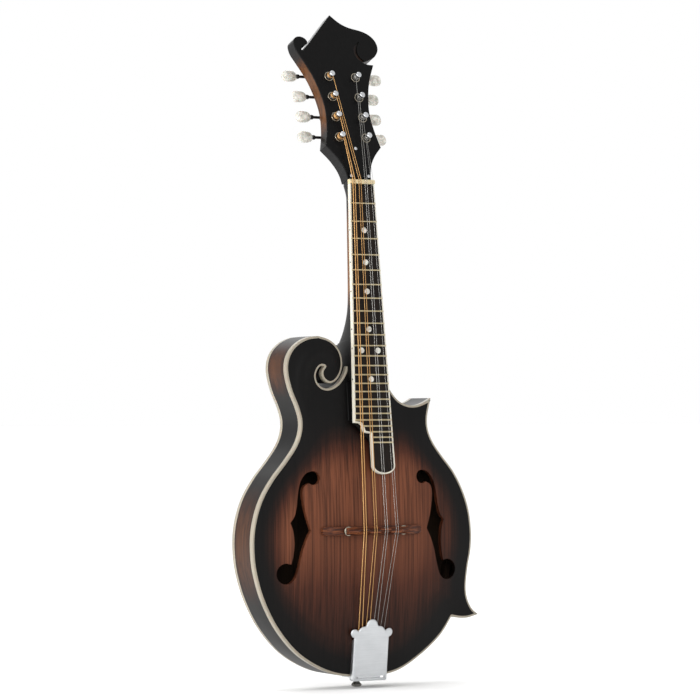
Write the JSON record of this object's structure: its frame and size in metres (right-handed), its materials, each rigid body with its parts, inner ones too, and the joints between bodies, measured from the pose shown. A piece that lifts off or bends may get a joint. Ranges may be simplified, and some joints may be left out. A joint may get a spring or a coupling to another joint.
{
  "type": "mandolin",
  "caption": "Scroll-body mandolin with carved arched top and back, f-holes, two body points, floating bridge, sliding tailpiece cover and geared tuners.",
  "frame": {"origin": "at the nut on the centre line, in the plane of the body's front edge", "axes": "+Z along the neck towards the headstock, -Y out of the face with the strings, +X to the treble side"},
  "size_m": [0.2624, 0.1157, 0.6926],
  "materials": {
    "sunburst_top": "satin dark sunburst over straight spruce grain",
    "stained_wood": "satin brown stain shading to black",
    "neck_wood": "satin dark brown stain shading to black",
    "inner_wood": "bare",
    "black_lacquer": "satin black",
    "ebony": "oiled",
    "rosewood": "oiled",
    "binding": "satin ivory",
    "bone": "polished",
    "pearl": "pearloid",
    "nickel": "satin nickel plate",
    "steel": "plain",
    "brass": "machined",
    "plain_string": "plain steel wire",
    "wound_string": "bronze wrap"
  },
  "bodies": {
    "body": {"top_plate": "sunburst_top", "back_plate": "stained_wood", "rim_bass": "stained_wood", "rim_tail_treble": "stained_wood", "rim_waist": "stained_wood", "rim_cutaway": "stained_wood", "top_binding": "binding", "back_binding": "binding", "top_lining": "inner_wood", "back_lining": "inner_wood", "neck_block": "black_lacquer", "tail_block": "inner_wood", "lower_point_block": "inner_wood", "upper_point_block": "inner_wood", "tone_bar_bass": "inner_wood", "tone_bar_treble": "inner_wood", "neck": "neck_wood", "fingerboard_riser": "black_lacquer", "fingerboard": "ebony", "fingerboard_binding": "binding", "nut": "bone", "truss_rod": "steel", "headstock_overlay": "black_lacquer", "truss_rod_cover": "black_lacquer", "tuner_plate_bass": "nickel", "tuner_plate_treble": "nickel", "bridge_foot": "rosewood", "bridge_stud_bass": "nickel", "bridge_stud_treble": "nickel", "tailpiece_base": "nickel", "end_pin": "nickel", "string_G1": "wound_string", "string_G2": "wound_string", "string_D1": "wound_string", "string_D2": "wound_string", "string_A1": "plain_string", "string_A2": "plain_string", "string_E1": "plain_string", "string_E2": "plain_string"},
    "saddle": {"bridge_saddle": "rosewood"},
    "thumbwheel_bass": {"thumbwheel_bass": "nickel"},
    "thumbwheel_treble": {"thumbwheel_treble": "nickel"},
    "tailpiece_cover": {"tailpiece_cover": "nickel"},
    "truss_rod_nut": {"truss_rod_nut": "brass"},
    "tuner_button_bass_1": {"tuner_button_bass_1": "pearl"},
    "tuner_post_bass_1": {"tuner_post_bass_1": "nickel"},
    "tuner_button_bass_2": {"tuner_button_bass_2": "pearl"},
    "tuner_post_bass_2": {"tuner_post_bass_2": "nickel"},
    "tuner_button_bass_3": {"tuner_button_bass_3": "pearl"},
    "tuner_post_bass_3": {"tuner_post_bass_3": "nickel"},
    "tuner_button_bass_4": {"tuner_button_bass_4": "pearl"},
    "tuner_post_bass_4": {"tuner_post_bass_4": "nickel"},
    "tuner_button_treble_1": {"tuner_button_treble_1": "pearl"},
    "tuner_post_treble_1": {"tuner_post_treble_1": "nickel"},
    "tuner_button_treble_2": {"tuner_button_treble_2": "pearl"},
    "tuner_post_treble_2": {"tuner_post_treble_2": "nickel"},
    "tuner_button_treble_3": {"tuner_button_treble_3": "pearl"},
    "tuner_post_treble_3": {"tuner_post_treble_3": "nickel"},
    "tuner_button_treble_4": {"tuner_button_treble_4": "pearl"},
    "tuner_post_treble_4": {"tuner_post_treble_4": "nickel"}
  },
  "joints": [
    {"name": "saddle_lift", "type": "slide", "parent": "body", "child": "saddle", "axis": [0, -1, 0], "range_m": [-0.0015, 0.0015], "deforming": ["string_G1", "string_G2", "string_D1", "string_D2", "string_A1", "string_A2", "string_E1", "string_E2"]},
    {"name": "thumbwheel_bass_spin", "type": "hinge", "parent": "saddle", "child": "thumbwheel_bass", "pos_m": [-0.03095, -0.0205, -0.3524], "axis": [0, -1, 0], "range_deg": [-720, 720]},
    {"name": "thumbwheel_treble_spin", "type": "hinge", "parent": "saddle", "child": "thumbwheel_treble", "pos_m": [0.03255, -0.0205, -0.3524], "axis": [0, -1, 0], "range_deg": [-720, 720]},
    {"name": "cover_slide", "type": "slide", "parent": "body", "child": "tailpiece_cover", "axis": [0, 0.1219, -0.9925], "range_m": [0, 0.07]},
    {"name": "truss_nut_turn", "type": "hinge", "parent": "body", "child": "truss_rod_nut", "pos_m": [0, 0.01583, 0.00897], "axis": [0, 0.0872, 0.9962], "range_deg": [-180, 180]},
    {"name": "button_bass_1_turn", "type": "hinge", "parent": "body", "child": "tuner_button_bass_1", "pos_m": [-0.0155, 0.04625, 0.04983], "axis": [-1, 0, 0], "continuous": true},
    {"name": "post_bass_1_turn", "type": "hinge", "parent": "body", "child": "tuner_post_bass_1", "pos_m": [-0.0155, 0.02318, 0.04888], "axis": [0, -0.9455, 0.3256], "continuous": true},
    {"name": "button_bass_2_turn", "type": "hinge", "parent": "body", "child": "tuner_button_bass_2", "pos_m": [-0.0155, 0.05364, 0.07129], "axis": [-1, 0, 0], "continuous": true},
    {"name": "post_bass_2_turn", "type": "hinge", "parent": "body", "child": "tuner_post_bass_2", "pos_m": [-0.0155, 0.03057, 0.07035], "axis": [0, -0.9455, 0.3256], "continuous": true},
    {"name": "button_bass_3_turn", "type": "hinge", "parent": "body", "child": "tuner_button_bass_3", "pos_m": [-0.0155, 0.06103, 0.09275], "axis": [-1, 0, 0], "continuous": true},
    {"name": "post_bass_3_turn", "type": "hinge", "parent": "body", "child": "tuner_post_bass_3", "pos_m": [-0.0155, 0.03796, 0.09181], "axis": [0, -0.9455, 0.3256], "continuous": true},
    {"name": "button_bass_4_turn", "type": "hinge", "parent": "body", "child": "tuner_button_bass_4", "pos_m": [-0.0155, 0.06842, 0.11422], "axis": [-1, 0, 0], "continuous": true},
    {"name": "post_bass_4_turn", "type": "hinge", "parent": "body", "child": "tuner_post_bass_4", "pos_m": [-0.0155, 0.04535, 0.11327], "axis": [0, -0.9455, 0.3256], "continuous": true},
    {"name": "button_treble_1_turn", "type": "hinge", "parent": "body", "child": "tuner_button_treble_1", "pos_m": [0.0155, 0.04625, 0.04983], "axis": [1, 0, 0], "continuous": true},
    {"name": "post_treble_1_turn", "type": "hinge", "parent": "body", "child": "tuner_post_treble_1", "pos_m": [0.0155, 0.02318, 0.04888], "axis": [0, -0.9455, 0.3256], "continuous": true},
    {"name": "button_treble_2_turn", "type": "hinge", "parent": "body", "child": "tuner_button_treble_2", "pos_m": [0.0155, 0.05364, 0.07129], "axis": [1, 0, 0], "continuous": true},
    {"name": "post_treble_2_turn", "type": "hinge", "parent": "body", "child": "tuner_post_treble_2", "pos_m": [0.0155, 0.03057, 0.07035], "axis": [0, -0.9455, 0.3256], "continuous": true},
    {"name": "button_treble_3_turn", "type": "hinge", "parent": "body", "child": "tuner_button_treble_3", "pos_m": [0.0155, 0.06103, 0.09275], "axis": [1, 0, 0], "continuous": true},
    {"name": "post_treble_3_turn", "type": "hinge", "parent": "body", "child": "tuner_post_treble_3", "pos_m": [0.0155, 0.03796, 0.09181], "axis": [0, -0.9455, 0.3256], "continuous": true},
    {"name": "button_treble_4_turn", "type": "hinge", "parent": "body", "child": "tuner_button_treble_4", "pos_m": [0.0155, 0.06842, 0.11422], "axis": [1, 0, 0], "continuous": true},
    {"name": "post_treble_4_turn", "type": "hinge", "parent": "body", "child": "tuner_post_treble_4", "pos_m": [0.0155, 0.04535, 0.11327], "axis": [0, -0.9455, 0.3256], "continuous": true}
  ],
  "couplings": [
    {"joint": "thumbwheel_bass_spin", "follows": "saddle_lift", "rad_per_m": 7913.3},
    {"joint": "thumbwheel_treble_spin", "follows": "saddle_lift", "rad_per_m": 7913.3},
    {"joint": "post_bass_1_turn", "follows": "button_bass_1_turn", "ratio": -0.0625},
    {"joint": "post_bass_2_turn", "follows": "button_bass_2_turn", "ratio": -0.0625},
    {"joint": "post_bass_3_turn", "follows": "button_bass_3_turn", "ratio": -0.0625},
    {"joint": "post_bass_4_turn", "follows": "button_bass_4_turn", "ratio": -0.0625},
    {"joint": "post_treble_1_turn", "follows": "button_treble_1_turn", "ratio": 0.0625},
    {"joint": "post_treble_2_turn", "follows": "button_treble_2_turn", "ratio": 0.0625},
    {"joint": "post_treble_3_turn", "follows": "button_treble_3_turn", "ratio": 0.0625},
    {"joint": "post_treble_4_turn", "follows": "button_treble_4_turn", "ratio": 0.0625}
  ]
}
